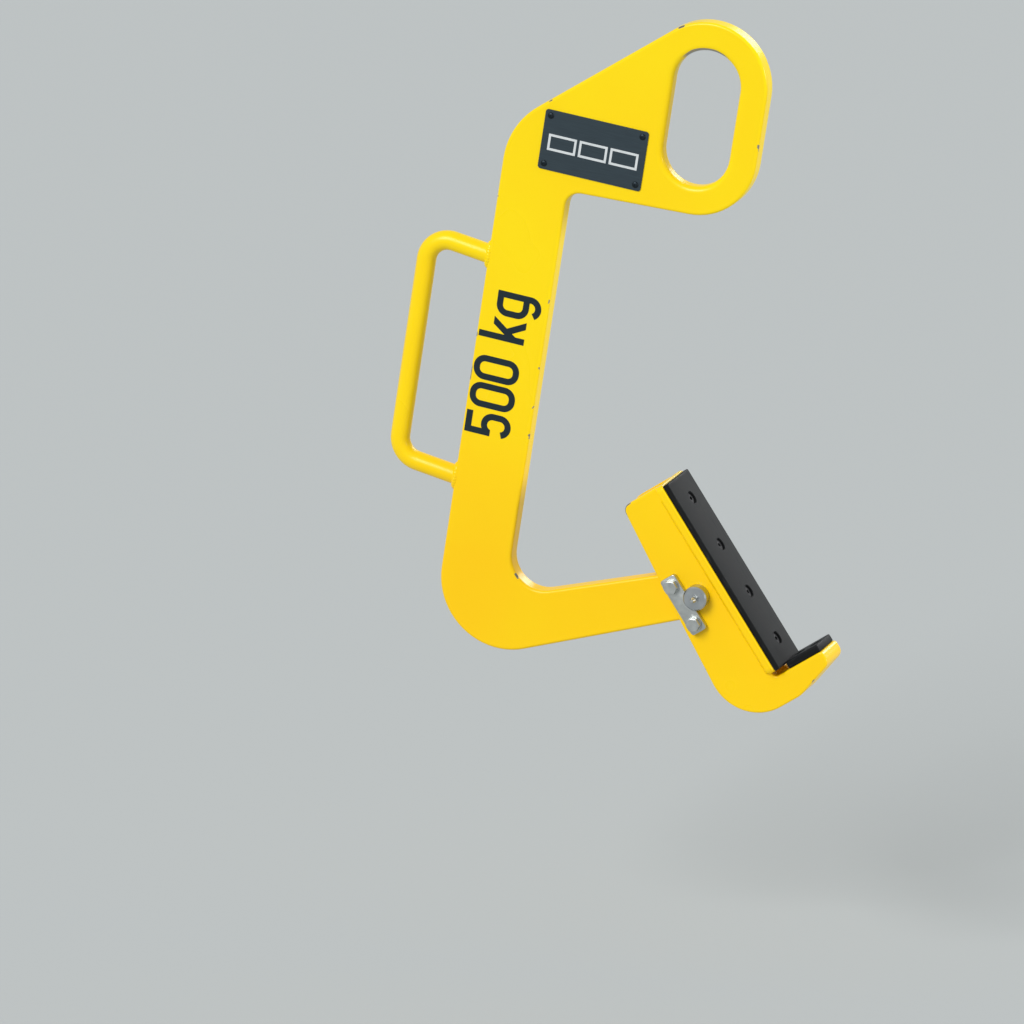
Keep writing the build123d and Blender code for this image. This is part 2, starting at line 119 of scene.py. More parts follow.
# %% [markdown]
# ## Studio
# The hook hangs over a pale grey floor. The camera looks down a little, so the floor fills the
# whole picture and no wall is needed. The main light comes from the front, above and a little to
# the left. It is a wide sun lamp, because an area lamp's light would fade along the floor and leave
# the far end dark. A weaker one lights the back. A third, low on the right, shines along the plate:
# it draws the pale line on the right-hand edges, and leaves dark what the plate itself hides from
# it, such as the near side of the eye and the inside of the handle. A grey world fills the shadows.

# %% Floor
FLOOR_LEVEL = -0.95
FLOOR_SIZE = 400.0
FLOOR_GREY = "#B6BABA"
FLOOR_ROUGHNESS = 0.95

bpy.ops.object.select_all(action="DESELECT")
bpy.ops.mesh.primitive_plane_add(size=FLOOR_SIZE, location=(0, 0, FLOOR_LEVEL))
floor = bpy.context.object
floor.name = "studio_floor"
bpy.ops.object.transform_apply(location=True, rotation=True, scale=True)

# Matt floor paint: no gloss, so only soft shadows show on it.
floor_paint, tree, shader = start_material("matt_floor_paint", FLOOR_ROUGHNESS)
shader.inputs["Base Color"].default_value = linear(FLOOR_GREY)
shader.inputs["Specular IOR Level"].default_value = 0.0
floor.data.materials.append(floor_paint)
print("floor at", FLOOR_LEVEL)

# %% Lamps
LAMP_DISTANCE = 3.0
# The direction that each lamp shines from, its strength, and its width in degrees
LAMPS = {
    "key_light": ((-0.28, -0.78, 0.56), 2.16, 30),
    "back_light": ((0.25, 0.8, 0.45), 1.5, 30),
    "right_light": ((0.985, 0.0, 0.16), 1.5, 12),
}

for name, (direction, strength, width) in LAMPS.items():
    bpy.ops.object.light_add(type="SUN", location=AIM + LAMP_DISTANCE * Vector(direction))
    lamp = bpy.context.object
    lamp.name = name
    lamp.rotation_euler = Vector(direction).to_track_quat("Z", "Y").to_euler()
    lamp.data.energy = strength
    lamp.data.angle = math.radians(width)
print("lamps:", list(LAMPS))

# %% World
AIR = "#E9ECEE"
AIR_STRENGTH = 0.5
HAZE = "#BEC3C4"

# The air lights the hook softly. What the lens, a gloss or a glass sees of it has the floor's tone.
world = bpy.data.worlds.new("studio_air")
bpy.context.scene.world = world
world.use_nodes = True
tree = world.node_tree
air = tree.nodes["Background"]
air.inputs["Color"].default_value = linear(AIR)
air.inputs["Strength"].default_value = AIR_STRENGTH
haze = add_node(tree, "ShaderNodeBackground", {"Color": linear(HAZE), "Strength": 1.0})
ray = add_node(tree, "ShaderNodeLightPath")
seen = add_node(tree, "ShaderNodeMath", {
    0: ray.outputs["Is Camera Ray"], 1: ray.outputs["Is Glossy Ray"],
}, operation="MAXIMUM")
seen = add_node(tree, "ShaderNodeMath", {
    0: seen.outputs[0], 1: ray.outputs["Is Transmission Ray"],
}, operation="MAXIMUM")
either = add_node(tree, "ShaderNodeMixShader", {
    0: seen.outputs[0], 1: air.outputs[0], 2: haze.outputs[0],
})
tree.links.new(either.outputs[0], tree.nodes["World Output"].inputs["Surface"])
bpy.context.scene.view_settings.view_transform = "Standard"
print("world:", world.name)

# %% [markdown]
# ## Two working frames
# The plate leans, because the eye and the pivot line up under the load, and the claw is tilted on
# its pivot. Modelling on a slant is awkward by hand, so each has a working frame: X to the right,
# Y up along the shank or the claw's leg, Z towards the viewer. A piece is modelled lying in that
# frame, and one matrix then stands it in place. The same matrices measure the CAD nodes, so new
# pieces take their sizes from the nodes.

# %% Working frames of the plate and the claw
PIVOT_OFFSET = 80 * MM
PIVOT_DROP = 517 * MM
TO_VIEWER = Vector((0.0, -1.0, 0.0))

pivot = Vector(frame["joints"][0]["pos_m"])
mounts = {mount["name"]: mount for mount in frame["record"]["mounts"]}
shank_lean = math.atan2(PIVOT_OFFSET, PIVOT_DROP)


def working_frame(right, origin):
    """Return the frame with X along right, Y up beside it and Z towards the viewer."""
    axes = Matrix((right, TO_VIEWER.cross(right), TO_VIEWER)).transposed()
    return Matrix.Translation(origin) @ axes.to_4x4()


def measure(node, working):
    """Return a CAD node's lowest and highest corners in a working frame."""
    inverse = working.inverted()
    points = [inverse @ vertex.co for vertex in nodes[node].data.vertices]
    return Vector(map(min, *points)), Vector(map(max, *points))


plate_frame = working_frame(Vector((math.cos(shank_lean), 0, -math.sin(shank_lean))), Vector())
claw_frame = working_frame(Vector(mounts["leg_pad_face"]["axis"]), pivot)
plate_low, plate_high = measure("hook_plate", plate_frame)
cheek_low, cheek_high = measure("front_cheek", claw_frame)
print("plate:", plate_low, plate_high)
print("front cheek:", cheek_low, cheek_high)

# %% [markdown]
# ## Yellow enamel
# The steel is sprayed with a thick, glossy machine enamel. Sprayed paint is never quite even: its
# film varies slowly over a hand's breadth, and its skin has the shallow waves called orange peel.
# Low on the hook the yellow is painted deeper, as painted shade of the light that falls from above. The parts
# could be unwrapped and painted by hand, but seams would show. Noise on Object
# coordinates needs no unwrapping, and it stays with a piece that moves.

# %% Enamel film
# A Mix node has sockets for each kind of data, and these are the ones for colours.
MIX_A, MIX_B, MIX_RESULT = 6, 7, 2
ENAMEL = "#FFDF00"
# The deeper yellow of a thick film, also used low on the hook as painted shade
ENAMEL_THICK_AND_SHADED = "#FFCB00"
ENAMEL_SPECULAR = 0.3
ENAMEL_GLOSS = (0.22, 0.36)
FILM_PATCH = 160 * MM
# Painted shade: over these heights the yellow turns deeper towards the bottom, standing in for light that falls
# from above
PAINTED_LOW_SHADE = 0.3
LOW_SHADE_START = -250 * MM
LOW_SHADE_END = -500 * MM
PEEL_WAVE = 5 * MM
PEEL_DEPTH = 0.4 * MM
PEEL_STRENGTH = 0.24


def start_enamel(name):
    """Glossy sprayed enamel: a yellow whose film and gloss vary, painted deeper low down as painted shade, with
    orange peel.
    """
    material, tree, shader = start_material(name, ENAMEL_GLOSS[0])
    shader.inputs["Specular IOR Level"].default_value = ENAMEL_SPECULAR
    place = add_node(tree, "ShaderNodeTexCoord")
    patch = add_node(tree, "ShaderNodeTexNoise", {
        "Vector": place.outputs["Object"], "Scale": 1 / FILM_PATCH, "Detail": 3.0,
    })
    level = add_node(tree, "ShaderNodeSeparateXYZ", {0: place.outputs["Object"]})
    # Painted shade: the lower a point, the more of the deeper yellow it gets
    painted_low_shade = add_node(tree, "ShaderNodeMapRange", {
        "Value": level.outputs["Z"], "From Min": LOW_SHADE_START, "From Max": LOW_SHADE_END,
        "To Min": -PAINTED_LOW_SHADE, "To Max": PAINTED_LOW_SHADE,
    })
    # The film's random thickness, plus the painted shade low on the hook
    thickness = add_node(tree, "ShaderNodeMath", {
        0: patch.outputs["Fac"], 1: painted_low_shade.outputs[0],
    }, operation="ADD")
    film = add_node(tree, "ShaderNodeMix", {
        0: thickness.outputs[0], MIX_A: linear(ENAMEL), MIX_B: linear(ENAMEL_THICK_AND_SHADED),
    }, data_type="RGBA")
    tree.links.new(film.outputs[MIX_RESULT], shader.inputs["Base Color"])
    gloss = add_node(tree, "ShaderNodeMapRange", {
        "Value": patch.outputs["Fac"], "To Min": ENAMEL_GLOSS[0], "To Max": ENAMEL_GLOSS[1],
    })
    tree.links.new(gloss.outputs[0], shader.inputs["Roughness"])
    peel = add_node(tree, "ShaderNodeTexNoise", {
        "Vector": place.outputs["Object"], "Scale": 1 / PEEL_WAVE, "Detail": 1.0,
    })
    waves = add_node(tree, "ShaderNodeBump", {
        "Strength": PEEL_STRENGTH, "Distance": PEEL_DEPTH, "Height": peel.outputs["Fac"],
    })
    tree.links.new(waves.outputs[0], shader.inputs["Normal"])
    return material, tree, shader, place, film.outputs[MIX_RESULT], waves


bar_enamel = start_enamel("yellow_enamel_on_bar")[0]
print("bar enamel has", len(bar_enamel.node_tree.nodes), "nodes")

# %% [markdown]
# ## Marks of the cut plates
# The hook plate and the claw's cheeks are cut from plate by torch, which leaves fine drag lines
# across the cut edges. Noise drawn out along Y gives them, and the square of the normal's Y keeps
# them off the faces. On the rounded edges the film is thinnest, and knocks chip it down to the
# primer, and to the steel where they were hardest. Geometry's Pointiness could find those edges, but
# it needs a dense mesh, and a CAD mesh is coarse. The depth of a point under the plate's nearer face
# tells instead: none on the face itself, and a few millimetres on a rounded edge.

# %% Drag lines on the cut edges
DRAG_LINE = 2.5 * MM
DRAG_STRETCH = 0.03


def drag_lines(tree, place):
    """The height of the torch's lines across the cut edges, which is nought on the faces."""
    facing = add_node(tree, "ShaderNodeSeparateXYZ", {0: place.outputs["Normal"]})
    square = add_node(tree, "ShaderNodeMath", {
        0: facing.outputs["Y"], 1: facing.outputs["Y"],
    }, operation="MULTIPLY")
    side = add_node(tree, "ShaderNodeMath", {0: 1.0, 1: square.outputs[0]}, operation="SUBTRACT")
    drawn = add_node(tree, "ShaderNodeMapping", {
        "Vector": place.outputs["Object"], "Scale": (1.0, DRAG_STRETCH, 1.0),
    })
    lines = add_node(tree, "ShaderNodeTexNoise", {
        "Vector": drawn.outputs[0], "Scale": 1 / DRAG_LINE, "Detail": 2.0,
    })
    drag = add_node(tree, "ShaderNodeMath", {
        0: lines.outputs["Fac"], 1: side.outputs[0],
    }, operation="MULTIPLY")
    return drag.outputs[0]


# %% Rounded edges
# Depths under the face, as shares of the rounding, at which an edge is full, starts to fade and ends
EDGE_FULL, EDGE_FADE, EDGE_END = 0.12, 0.9, 1.8


def rounded_edges(tree, place, inner, outer, rounding):
    """One on the rounded edges of a plate whose faces lie at two distances from the middle plane."""
    level = add_node(tree, "ShaderNodeSeparateXYZ", {0: place.outputs["Object"]})
    out = add_node(tree, "ShaderNodeMath", {0: level.outputs["Y"]}, operation="ABSOLUTE")
    off = add_node(tree, "ShaderNodeMath", {
        0: out.outputs[0], 1: (inner + outer) / 2,
    }, operation="SUBTRACT")
    away = add_node(tree, "ShaderNodeMath", {0: off.outputs[0]}, operation="ABSOLUTE")
    depth = add_node(tree, "ShaderNodeMath", {
        0: (outer - inner) / 2, 1: away.outputs[0],
    }, operation="SUBTRACT")
    under = add_node(tree, "ShaderNodeMapRange", {
        "Value": depth.outputs[0], "From Max": EDGE_FULL * rounding,
    })
    near = add_node(tree, "ShaderNodeMapRange", {
        "Value": depth.outputs[0], "From Min": EDGE_END * rounding, "From Max": EDGE_FADE * rounding,
    })
    edge = add_node(tree, "ShaderNodeMath", {
        0: under.outputs[0], 1: near.outputs[0],
    }, operation="MULTIPLY")
    return edge.outputs[0]


# %% Enamel on cut plates
PRIMER = "#8B8577"
STRUCK_STEEL = "#6B675F"
CHIP_SIZE = 18 * MM
CHIP_DEPTH = 0.6
# How hard a knock has to be to chip the enamel, and to reach the steel: where each starts and is full
CHIP_KNOCK = (0.66, 0.67)
STEEL_KNOCK = (0.685, 0.695)
GROOVE_DEPTH = 0.4 * MM
GROOVE_STRENGTH = 0.3
PLATE_ROUND = 3 * MM
CHEEK_ROUND = 2 * MM


def cut_plate_enamel(name, inner, outer, rounding):
    """Enamel on a plate cut by torch: drag lines on its cut edges, chips on its rounded ones."""
    material, tree, shader, place, colour, waves = start_enamel(name)
    knock = add_node(tree, "ShaderNodeTexNoise", {
        "Vector": place.outputs["Object"], "Scale": 1 / CHIP_SIZE, "Detail": 3.5,
    })
    loss = add_node(tree, "ShaderNodeMath", {
        0: knock.outputs["Fac"], 1: rounded_edges(tree, place, inner, outer, rounding),
    }, operation="MULTIPLY")
    chip = add_node(tree, "ShaderNodeMapRange", {
        "Value": loss.outputs[0], "From Min": CHIP_KNOCK[0], "From Max": CHIP_KNOCK[1],
    })
    core = add_node(tree, "ShaderNodeMapRange", {
        "Value": loss.outputs[0], "From Min": STEEL_KNOCK[0], "From Max": STEEL_KNOCK[1],
    })
    primed = add_node(tree, "ShaderNodeMix", {
        0: chip.outputs[0], MIX_A: colour, MIX_B: linear(PRIMER),
    }, data_type="RGBA")
    struck = add_node(tree, "ShaderNodeMix", {
        0: core.outputs[0], MIX_A: primed.outputs[MIX_RESULT], MIX_B: linear(STRUCK_STEEL),
    }, data_type="RGBA")
    tree.links.new(struck.outputs[MIX_RESULT], shader.inputs["Base Color"])
    height = add_node(tree, "ShaderNodeMath", {
        0: chip.outputs[0], 1: -CHIP_DEPTH, 2: drag_lines(tree, place),
    }, operation="MULTIPLY_ADD")
    grooves = add_node(tree, "ShaderNodeBump", {
        "Strength": GROOVE_STRENGTH, "Distance": GROOVE_DEPTH, "Height": height.outputs[0],
    })
    tree.links.new(grooves.outputs[0], waves.inputs["Normal"])
    return material, tree, shader, place, struck.outputs[MIX_RESULT], knock


cheek_enamel = cut_plate_enamel(
    "yellow_enamel_on_cheeks", cheek_low.z, cheek_high.z, CHEEK_ROUND)[0]
plate_enamel, tree, shader, place, colour, knock = cut_plate_enamel(
    "yellow_enamel_on_hook_plate", plate_low.z, plate_high.z, PLATE_ROUND)
print("cheek enamel has", len(cheek_enamel.node_tree.nodes), "nodes")

# %% [markdown]
# ## Rubbed steel in the eye
# The whole weight hangs in the top of the eye, and there the paint is rubbed down to bright steel.
# A mask could be painted on the mesh's points, but the eye's wall has few of them. The origin is the
# centre of the eye, so a point's distance from it and its height tell where the seat is, and the
# noise of the chips gives the rubbed patch a ragged border.

# %% Rubbed steel in the eye
RUBBED_STEEL = "#A3A29D"
EYE_RADIUS = 35 * MM
EYE_EDGE = 4 * MM
SEAT_START = EYE_RADIUS / 2
RUB = (0.24, 0.34)

across = add_node(tree, "ShaderNodeVectorMath", {
    0: place.outputs["Object"], 1: (1.0, 0.0, 1.0),
}, operation="MULTIPLY")
reach = add_node(tree, "ShaderNodeVectorMath", {0: across.outputs[0]}, operation="LENGTH")
inside = add_node(tree, "ShaderNodeMapRange", {
    "Value": reach.outputs["Value"],
    "From Min": EYE_RADIUS + EYE_EDGE, "From Max": EYE_RADIUS + EYE_EDGE / 2,
})
level = add_node(tree, "ShaderNodeSeparateXYZ", {0: place.outputs["Object"]})
seat = add_node(tree, "ShaderNodeMapRange", {
    "Value": level.outputs["Z"], "From Min": SEAT_START, "From Max": EYE_RADIUS,
})
rub = add_node(tree, "ShaderNodeMath", {
    0: inside.outputs[0], 1: seat.outputs[0],
}, operation="MULTIPLY")
patchy = add_node(tree, "ShaderNodeMath", {
    0: rub.outputs[0], 1: knock.outputs["Fac"],
}, operation="MULTIPLY")
bare = add_node(tree, "ShaderNodeMapRange", {
    "Value": patchy.outputs[0], "From Min": RUB[0], "From Max": RUB[1],
})
worn = add_node(tree, "ShaderNodeMix", {
    0: bare.outputs[0], MIX_A: colour, MIX_B: linear(RUBBED_STEEL),
}, data_type="RGBA")
tree.links.new(worn.outputs[MIX_RESULT], shader.inputs["Base Color"])
tree.links.new(bare.outputs[0], shader.inputs["Metallic"])
print("plate enamel has", len(tree.nodes), "nodes")


# %% Enamel on its nodes
def finish_nodes(finish, *names):
    """Give CAD nodes their finish."""
    for name in names:
        nodes[name].data.materials.clear()
        nodes[name].data.materials.append(finish)
    print(finish.name, "on", ", ".join(names))


finish_nodes(plate_enamel, "hook_plate")
finish_nodes(cheek_enamel, "front_cheek", "rear_cheek")
finish_nodes(bar_enamel, "handle_bar", "toe_block", "pad_carrier")

# %% [markdown]
# ## Bare metals
# The pivot has four metals. The pin is ground steel, so fine scratches run round it. The bushes are
# cast bronze, turned to size. The keeper, its bolts and washers and the grease nipple are zinc
# plated, a pale cool metal with a cloudy lustre. The pad screws are blackened steel. One colour and
# one gloss all over would look like plastic, so noise varies both together: drawn out along one axis
# it gives scratches, and plain it gives the cloudiness.

# %% Metal finishes
RELIEF_DEPTH = 0.2 * MM
RELIEF_STRENGTH = 0.15
GRINDING = (0.2, 4.0, 0.2)


def metal_finish(name, dark, light, grain, finest, coarsest, stretch=(1.0, 1.0, 1.0)):
    """A metal whose colour and roughness vary between two values over grains of a given size."""
    material, tree, shader = start_material(name, finest, metallic=1.0)
    place = add_node(tree, "ShaderNodeTexCoord")
    drawn = add_node(tree, "ShaderNodeMapping", {
        "Vector": place.outputs["Object"], "Scale": stretch,
    })
    cloud = add_node(tree, "ShaderNodeTexNoise", {
        "Vector": drawn.outputs[0], "Scale": 1 / grain, "Detail": 4.0,
    })
    tint = add_node(tree, "ShaderNodeMix", {
        0: cloud.outputs["Fac"], MIX_A: linear(dark), MIX_B: linear(light),
    }, data_type="RGBA")
    tree.links.new(tint.outputs[MIX_RESULT], shader.inputs["Base Color"])
    gloss = add_node(tree, "ShaderNodeMapRange", {
        "Value": cloud.outputs["Fac"], "To Min": finest, "To Max": coarsest,
    })
    tree.links.new(gloss.outputs[0], shader.inputs["Roughness"])
    relief = add_node(tree, "ShaderNodeBump", {
        "Strength": RELIEF_STRENGTH, "Distance": RELIEF_DEPTH, "Height": cloud.outputs["Fac"],
    })
    tree.links.new(relief.outputs[0], shader.inputs["Normal"])
    return material


ground_steel = metal_finish("ground_steel", "#9DA1A4", "#C9CCCE", 2 * MM, 0.22, 0.38, GRINDING)
tin_bronze = metal_finish("turned_tin_bronze", "#94703C", "#C29A5C", 3 * MM, 0.30, 0.48)
zinc_plate = metal_finish("zinc_plated_steel", "#A9ADAD", "#D2D4D0", 5 * MM, 0.28, 0.46)
black_oxide = metal_finish("blackened_steel", "#1E1E20", "#3A3A3C", 2 * MM, 0.38, 0.55)
finish_nodes(ground_steel, "pivot_pin")
finish_nodes(tin_bronze, "front_bush", "rear_bush")
finish_nodes(zinc_plate, "keeper_washers", "grease_nipple")
finish_nodes(black_oxide, "leg_pad_screws", "toe_pad_screws")

# %% [markdown]
# ## Rating plate
# The sign is a thin aluminium sheet, anodised in a dark slate colour, whose rolled grain runs along
# it. The CAD node has its shape, so it needs only a finish: noise drawn out along the leaning sign
# by a Mapping node. The inks of the sign and of the lettering are matt films that cover unevenly.

# %% Anodised sheet
SLATE_DARK = "#222E36"
SLATE_LIGHT = "#33424A"
SLATE_ROUGHNESS = 0.42
SLATE_METALLIC = 0.25
ROLL_LINE = 0.8 * MM
ROLL_STRETCH = 20.0

# Anodised aluminium: a dark film with a satin gloss and the faint lines of the rolling mill.
anodised, tree, shader = start_material(
    "slate_anodised_aluminium", SLATE_ROUGHNESS, metallic=SLATE_METALLIC)
place = add_node(tree, "ShaderNodeTexCoord")
rolled = add_node(tree, "ShaderNodeMapping", {
    "Vector": place.outputs["Object"],
    "Rotation": (0, shank_lean, 0), "Scale": (ROLL_STRETCH, 1.0, 1.0),
}, vector_type="TEXTURE")
grain = add_node(tree, "ShaderNodeTexNoise", {
    "Vector": rolled.outputs[0], "Scale": 1 / ROLL_LINE, "Detail": 3.0,
})
tint = add_node(tree, "ShaderNodeMix", {
    0: grain.outputs["Fac"], MIX_A: linear(SLATE_DARK), MIX_B: linear(SLATE_LIGHT),
}, data_type="RGBA")
tree.links.new(tint.outputs[MIX_RESULT], shader.inputs["Base Color"])
finish_nodes(anodised, "rating_plate")

# %% Inks
INK_PATCH = 6 * MM
INK_ROUGHNESS = 0.5
INK_SPECULAR = 0.2


def ink_finish(name, thin, thick):
    """Printed or stencilled ink: a matt film whose cover varies a little."""
    material, tree, shader = start_material(name, INK_ROUGHNESS)
    shader.inputs["Specular IOR Level"].default_value = INK_SPECULAR
    place = add_node(tree, "ShaderNodeTexCoord")
    cover = add_node(tree, "ShaderNodeTexNoise", {
        "Vector": place.outputs["Object"], "Scale": 1 / INK_PATCH, "Detail": 5.0,
    })
    tint = add_node(tree, "ShaderNodeMix", {
        0: cover.outputs["Fac"], MIX_A: linear(thin), MIX_B: linear(thick),
    }, data_type="RGBA")
    tree.links.new(tint.outputs[MIX_RESULT], shader.inputs["Base Color"])
    return material


pale_ink = ink_finish("pale_print_ink", "#BFC4C6", "#E4E7E8")
slate_ink = ink_finish("slate_stencil_paint", "#1D2B32", "#15232A")
print("inks:", pale_ink.name, slate_ink.name)

# %% [markdown]
# ## Helpers for pieces
# Every new piece ends the same way: it is stood in its place with its transform applied, it gets
# its finish, and it rides on a body. Pieces that repeat are modelled once, copied and joined.

# %% Helpers for pieces
def make_active(piece):
    """Select one object alone and make it the active one."""
    bpy.ops.object.select_all(action="DESELECT")
    piece.select_set(True)
    bpy.context.view_layer.objects.active = piece


def join(pieces):
    """Join objects into the first one and return it."""
    bpy.ops.object.select_all(action="DESELECT")
    for piece in pieces:
        piece.select_set(True)
    bpy.context.view_layer.objects.active = pieces[0]
    bpy.ops.object.join()
    return pieces[0]


def repeat(piece, spots):
    """Copy a piece to each spot of its working frame, and return the copies as one object."""
    copies = []
    for spot in spots:
        copy = piece.copy()
        copy.data = piece.data.copy()
        bpy.context.collection.objects.link(copy)
        copy.matrix_world = Matrix.Translation(spot) @ piece.matrix_world
        copies.append(copy)
    bpy.data.objects.remove(piece)
    return join(copies)


def stand(piece, working):
    """Move a piece from a working frame to its place, and apply its transform."""
    bpy.context.view_layer.update()
    piece.matrix_world = working @ piece.matrix_world
    make_active(piece)
    bpy.ops.object.transform_apply(location=True, rotation=True, scale=True)


def hand_over(piece, name, body, slot, finish, *replaced):
    """Name a finished piece, give it its finish, and let it ride on its body. The slot is not used."""
    piece.name = name
    piece.data.name = name
    piece.data.materials.clear()
    piece.data.materials.append(finish)
    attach(piece, body)
    if replaced:
        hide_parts(*replaced)
    print(name, "has", len(piece.data.polygons), "faces")


# %% [markdown]
# ## Blank fields on the sign
# The sign carries no name: three blank fields for stamping are printed on it in a pale ink. Each
# could be a curve with a bevel. A plane that is inset to a frame and extruded is quicker, and it
# gives sharp corners. The ink has a thickness, so that it lies on the sheet and not in it.

# %% Blank fields on the sign
FIELD_WIDTH = 30 * MM
FIELD_HEIGHT = 17 * MM
FIELD_PITCH = 33 * MM
FIELD_DROP = 2 * MM
FIELD_LINE = 2.4 * MM
PRINT_THICKNESS = 0.15 * MM

sign_low, sign_high = measure("rating_plate", plate_frame)
sign_middle = (sign_low + sign_high) / 2
bpy.ops.object.select_all(action="DESELECT")
bpy.ops.mesh.primitive_plane_add(size=1.0)
field = bpy.context.object
field.scale = (FIELD_WIDTH, FIELD_HEIGHT, 1.0)
bpy.ops.object.transform_apply(location=False, rotation=False, scale=True)
bpy.ops.object.mode_set(mode="EDIT")
bpy.ops.mesh.select_all(action="SELECT")
bpy.ops.mesh.inset(thickness=FIELD_LINE)
bpy.ops.mesh.delete(type="FACE")
bpy.ops.mesh.select_all(action="SELECT")
bpy.ops.mesh.extrude_region_move(TRANSFORM_OT_translate={"value": (0, 0, PRINT_THICKNESS)})
bpy.ops.mesh.select_all(action="SELECT")
bpy.ops.mesh.normals_make_consistent(inside=False)
bpy.ops.object.mode_set(mode="OBJECT")
fields = repeat(field, [
    Vector((sign_middle.x + i * FIELD_PITCH, sign_middle.y - FIELD_DROP, sign_high.z))
    for i in (-1, 0, 1)
])
stand(fields, plate_frame)
hand_over(fields, "rating_plate_fields", "hook", "sign", pale_ink)

# %% [markdown]
# ## Rivets
# Four dark blind rivets hold the sign. A blind rivet is a turned part: a shank, a wide flange and a
# dome with the small hole that its mandrel leaves. Spinning a profile would do, but it leaves doubled
# points on the axis. A filled circle that is extruded upwards and resized ring by ring has none, and
# gives any turned part, so this helper also serves for bolts and hole cutters.

# %% Turned parts
def turned(sides, rings):
    """A turned solid along Z: a filled circle extruded through rings of (radius, height)."""
    radius, height = rings[0]
    bpy.ops.object.select_all(action="DESELECT")
    bpy.ops.mesh.primitive_circle_add(vertices=sides, radius=radius, fill_type="NGON")
    part = bpy.context.object
    bpy.ops.object.mode_set(mode="EDIT")
    bpy.ops.mesh.select_all(action="SELECT")
    bpy.ops.transform.translate(value=(0, 0, height))
    for next_radius, next_height in rings[1:]:
        bpy.ops.mesh.extrude_region_move(
            TRANSFORM_OT_translate={"value": (0, 0, next_height - height)})
        growth = next_radius / radius
        bpy.ops.transform.resize(value=(growth, growth, 1), center_override=(0, 0, 0))
        radius, height = next_radius, next_height
    bpy.ops.mesh.select_all(action="SELECT")
    bpy.ops.mesh.normals_make_consistent(inside=False)
    bpy.ops.object.mode_set(mode="OBJECT")
    return part


def smooth(piece, degrees):
    """Shade a piece smoothly, apart from edges that are sharper than an angle."""
    make_active(piece)
    bpy.ops.object.shade_smooth_by_angle(angle=math.radians(degrees))


# %% Blind rivets
RIVET_INSET = 6 * MM
RIVET_SIDES = 32
FLANGE_SHARE = 0.3
DOME_ANGLE = math.radians(70)
DOME_STEPS = 5
MANDREL_RADIUS = 0.9 * MM
MANDREL_DEPTH = 0.6 * MM

rivet_low, rivet_high = measure("rating_plate_rivets", plate_frame)
rivet_radius = sign_low.x + RIVET_INSET - rivet_low.x
head_height = rivet_high.z - sign_high.z
flange = FLANGE_SHARE * head_height
rings = [
    (rivet_radius / 2, rivet_low.z), (rivet_radius / 2, sign_high.z), (rivet_radius, sign_high.z),
]
for step in range(DOME_STEPS + 1):
    angle = DOME_ANGLE * step / DOME_STEPS
    rise = (head_height - flange) * math.sin(angle) / math.sin(DOME_ANGLE)
    rings.append((rivet_radius * math.cos(angle), sign_high.z + flange + rise))
rings += [(MANDREL_RADIUS, rivet_high.z), (MANDREL_RADIUS, rivet_high.z - MANDREL_DEPTH)]
rivets = repeat(turned(RIVET_SIDES, rings), [
    Vector((x, y, 0))
    for x in (sign_low.x + RIVET_INSET, sign_high.x - RIVET_INSET)
    for y in (sign_low.y + RIVET_INSET, sign_high.y - RIVET_INSET)
])
smooth(rivets, 40)
stand(rivets, plate_frame)
dark_aluminium = metal_finish("dark_anodised_aluminium", "#23292E", "#343C42", 1 * MM, 0.35, 0.5)
hand_over(rivets, "rating_plate_blind_rivets", "hook", "rivet", dark_aluminium, "rating_plate_rivets")

# %% [markdown]
# ## Pads
# The claw's pads are cast polyurethane, a tough black rubber that saves the load from scratches.
# Cast edges are soft, so each pad is a cube whose edges a Bevel modifier rounds all alike. The leg
# pad is crowned across its width: it is what its cube and a large cylinder have in common, and the
# cylinder has many rings, because long thin faces would shade unevenly. Both pads have stepped
# holes for the countersunk screws. Insets would have to be matched to the crowned face, so the holes
# are cut with a Boolean.

# %% Pad finish
RUBBER = "#161718"
RUBBER_SCUFFED = "#2E3032"
RUBBER_SPECULAR = 0.1
RUBBER_GLOSS = (0.5, 0.8)
CAST_GRAIN = 1.2 * MM
CAST_DEPTH = 0.2 * MM
CAST_STRENGTH = 0.25
SCUFF_WIDTH = 2.5 * MM
SCUFF_STRETCH = 7.0
SCUFF = (0.56, 0.86)

leg_axis = mounts["leg_pad_face"]["axis"]
claw_tilt = math.atan2(-leg_axis[2], leg_axis[0])


